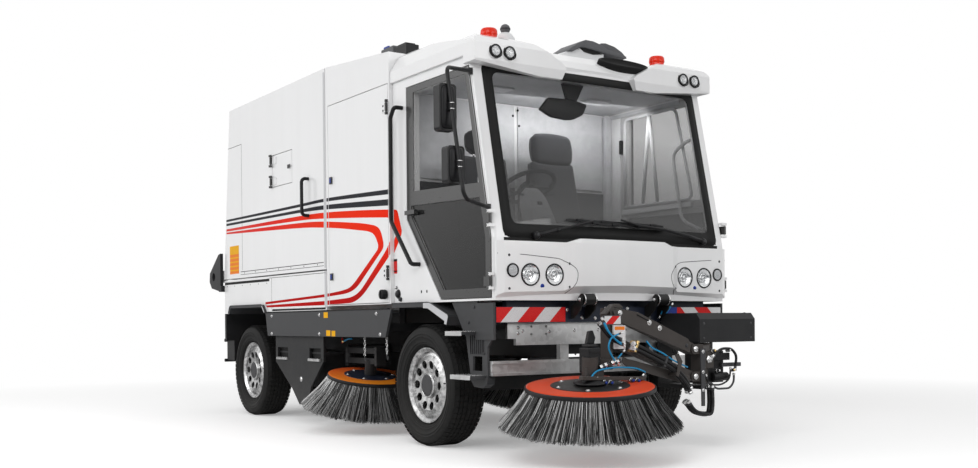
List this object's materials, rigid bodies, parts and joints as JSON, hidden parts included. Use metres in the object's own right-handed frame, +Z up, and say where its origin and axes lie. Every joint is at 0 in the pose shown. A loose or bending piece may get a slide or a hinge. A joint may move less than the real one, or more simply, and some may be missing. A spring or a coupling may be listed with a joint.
{
  "type": "street sweeper truck",
  "caption": "Compact forward-control street sweeper truck with tipping hopper, side brushes, roller and a swinging front brush.",
  "frame": {"origin": "on the ground, under the middle of the whole length and width", "axes": "+X forward, +Y to the vehicle left, +Z up"},
  "size_m": [6.0708, 2.733, 2.968],
  "materials": {
    "white_paint": "gloss white paint",
    "dark_grey_paint": "satin dark grey paint",
    "black_paint": "satin black paint",
    "beam_paint": "satin blue-black paint",
    "cast_metal": "cast",
    "bright_sheet": "bright sheet",
    "grey_moulding": "satin moulding",
    "interior_moulding": "matt moulding",
    "seat_cloth": "woven cloth",
    "amber": "clear orange",
    "lamp": "clear lens",
    "glass": "clear",
    "bristle": "bristle",
    "tyre_rubber": "matt rubber",
    "polished_rim": "polished"
  },
  "bodies": {
    "vehicle": {"beacons": "amber", "body_bearers": "black_paint", "cab_shell": "white_paint", "chassis_frame": "black_paint", "cross_members": "black_paint", "dashboard": "interior_moulding", "driver_seat": "seat_cloth", "engine_block": "cast_metal", "entry_steps": "dark_grey_paint", "front_arm_bracket": "dark_grey_paint", "front_axle": "black_paint", "front_beam": "beam_paint", "front_crossbar": "bright_sheet", "front_fascia": "white_paint", "grab_rails": "black_paint", "lamps": "lamp", "lower_body": "white_paint", "mid_housing": "white_paint", "mirrors_right": "black_paint", "mudguards": "grey_moulding", "passenger_seat": "seat_cloth", "rear_axle": "black_paint", "rear_bumper": "black_paint", "roof_cap": "white_paint", "roof_units": "grey_moulding", "side_arm_mounts": "black_paint", "side_skirts": "dark_grey_paint", "sweeping_housing": "dark_grey_paint", "windscreen": "glass"},
    "hopper": {"hopper_shell": "white_paint", "hopper_handle": "black_paint"},
    "rear_door": {"hopper_rear_door": "white_paint"},
    "hatch": {"hopper_hatch": "white_paint"},
    "steering_wheel": {"steering_wheel": "interior_moulding"},
    "roller": {"roller_brush": "bristle"},
    "front_post": {"front_arm_post": "dark_grey_paint"},
    "front_upper_link": {"front_arm_upper_link": "dark_grey_paint"},
    "front_lower_link": {"front_arm_lower_link": "dark_grey_paint"},
    "front_head": {"front_arm_head": "dark_grey_paint"},
    "front_brush": {"front_brush": "bristle"},
    "knuckle_left": {"knuckle_left": "black_paint"},
    "cab_door_left": {"cab_door_left": "black_paint", "door_glass_left": "glass"},
    "service_door_left": {"service_door_left": "white_paint"},
    "side_arm_left": {"side_arm_left": "dark_grey_paint"},
    "side_brush_left": {"side_brush_left": "bristle"},
    "wheel_front_left": {"tyre_front_left": "tyre_rubber", "rim_front_left": "polished_rim"},
    "wheel_rear_left": {"tyre_rear_left": "tyre_rubber", "rim_rear_left": "polished_rim"},
    "knuckle_right": {"knuckle_right": "black_paint"},
    "cab_door_right": {"cab_door_right": "black_paint", "door_glass_right": "glass"},
    "service_door_right": {"service_door_right": "white_paint"},
    "side_arm_right": {"side_arm_right": "dark_grey_paint"},
    "side_brush_right": {"side_brush_right": "bristle"},
    "wheel_front_right": {"tyre_front_right": "tyre_rubber", "rim_front_right": "polished_rim"},
    "wheel_rear_right": {"tyre_rear_right": "tyre_rubber", "rim_rear_right": "polished_rim"}
  },
  "joints": [
    {"name": "steer_left", "type": "hinge", "parent": "vehicle", "child": "knuckle_left", "pos_m": [1.12458, 0.77, 0.425], "axis": [0, 0, 1], "range_deg": [-32, 32]},
    {"name": "steer_right", "type": "hinge", "parent": "vehicle", "child": "knuckle_right", "pos_m": [1.12458, -0.77, 0.425], "axis": [0, 0, 1], "range_deg": [-32, 32]},
    {"name": "steering_wheel_turn", "type": "hinge", "parent": "vehicle", "child": "steering_wheel", "pos_m": [1.59458, -0.465, 1.79], "axis": [-0.4695, 0, 0.8829], "range_deg": [-480, 480]},
    {"name": "wheel_front_left_spin", "type": "hinge", "parent": "knuckle_left", "child": "wheel_front_left", "pos_m": [1.12458, 0.911, 0.425], "axis": [0, 1, 0], "continuous": true},
    {"name": "wheel_rear_left_spin", "type": "hinge", "parent": "vehicle", "child": "wheel_rear_left", "pos_m": [-2.17542, 0.875, 0.425], "axis": [0, 1, 0], "continuous": true},
    {"name": "cab_door_left_open", "type": "hinge", "parent": "vehicle", "child": "cab_door_left", "pos_m": [1.97658, 1.036, 1.5], "axis": [0, 0, -1], "range_deg": [0, 65]},
    {"name": "service_door_left_open", "type": "hinge", "parent": "vehicle", "child": "service_door_left", "pos_m": [0.67758, 1.066, 1.8], "axis": [0, 0, -1], "range_deg": [0, 90]},
    {"name": "side_arm_left_swing", "type": "hinge", "parent": "vehicle", "child": "side_arm_left", "pos_m": [-0.49042, 0.8, 0.52], "axis": [0, 0, 1], "range_deg": [0, 20]},
    {"name": "side_brush_left_spin", "type": "hinge", "parent": "side_arm_left", "child": "side_brush_left", "pos_m": [-0.12242, 0.8, 0.449], "axis": [0.1702, 0, 0.9854], "continuous": true},
    {"name": "wheel_front_right_spin", "type": "hinge", "parent": "knuckle_right", "child": "wheel_front_right", "pos_m": [1.12458, -0.911, 0.425], "axis": [0, 1, 0], "continuous": true},
    {"name": "wheel_rear_right_spin", "type": "hinge", "parent": "vehicle", "child": "wheel_rear_right", "pos_m": [-2.17542, -0.875, 0.425], "axis": [0, 1, 0], "continuous": true},
    {"name": "cab_door_right_open", "type": "hinge", "parent": "vehicle", "child": "cab_door_right", "pos_m": [1.97658, -1.036, 1.5], "axis": [0, 0, 1], "range_deg": [0, 65]},
    {"name": "service_door_right_open", "type": "hinge", "parent": "vehicle", "child": "service_door_right", "pos_m": [0.67758, -1.066, 1.8], "axis": [0, 0, 1], "range_deg": [0, 90]},
    {"name": "side_arm_right_swing", "type": "hinge", "parent": "vehicle", "child": "side_arm_right", "pos_m": [-0.49042, -0.8, 0.52], "axis": [0, 0, -1], "range_deg": [0, 20]},
    {"name": "side_brush_right_spin", "type": "hinge", "parent": "side_arm_right", "child": "side_brush_right", "pos_m": [-0.12242, -0.8, 0.449], "axis": [0.1702, 0, 0.9854], "continuous": true},
    {"name": "hopper_tip", "type": "hinge", "parent": "vehicle", "child": "hopper", "pos_m": [-2.80542, 0, 1.33], "axis": [0, -1, 0], "range_deg": [0, 50]},
    {"name": "rear_door_open", "type": "hinge", "parent": "hopper", "child": "rear_door", "pos_m": [-2.55798, 0, 2.847], "axis": [0, 1, 0], "range_deg": [0, 80]},
    {"name": "hatch_open", "type": "hinge", "parent": "hopper", "child": "hatch", "pos_m": [-1.47942, -1.066, 2.21], "axis": [0, 0, -1], "range_deg": [0, 100]},
    {"name": "roller_spin", "type": "hinge", "parent": "vehicle", "child": "roller", "pos_m": [-0.99542, 0, 0.385], "axis": [0, 1, 0], "continuous": true},
    {"name": "front_arm_slew", "type": "hinge", "parent": "vehicle", "child": "front_post", "pos_m": [2.32458, 0.48, 0.56], "axis": [0, 0, 1], "range_deg": [0, 75]},
    {"name": "front_arm_lift", "type": "hinge", "parent": "front_post", "child": "front_upper_link", "pos_m": [2.42458, 0.25, 0.672], "axis": [-1, 0, 0], "range_deg": [-10, 12]},
    {"name": "front_lower_link_turn", "type": "hinge", "parent": "front_post", "child": "front_lower_link", "pos_m": [2.42458, 0.25, 0.492], "axis": [-1, 0, 0], "range_deg": [-10, 12]},
    {"name": "front_head_level", "type": "hinge", "parent": "front_upper_link", "child": "front_head", "pos_m": [2.42458, -0.4, 0.912], "axis": [-1, 0, 0], "range_deg": [-12, 10]},
    {"name": "front_brush_spin", "type": "hinge", "parent": "front_head", "child": "front_brush", "pos_m": [2.47958, -0.64, 0.473], "axis": [0.0884, -0.0679, 0.9938], "continuous": true}
  ],
  "couplings": [
    {"joint": "steer_right", "follows": "steer_left", "ratio": 1},
    {"joint": "steering_wheel_turn", "follows": "steer_left", "ratio": 15},
    {"joint": "front_lower_link_turn", "follows": "front_arm_lift", "ratio": 1},
    {"joint": "front_head_level", "follows": "front_arm_lift", "ratio": -1}
  ]
}
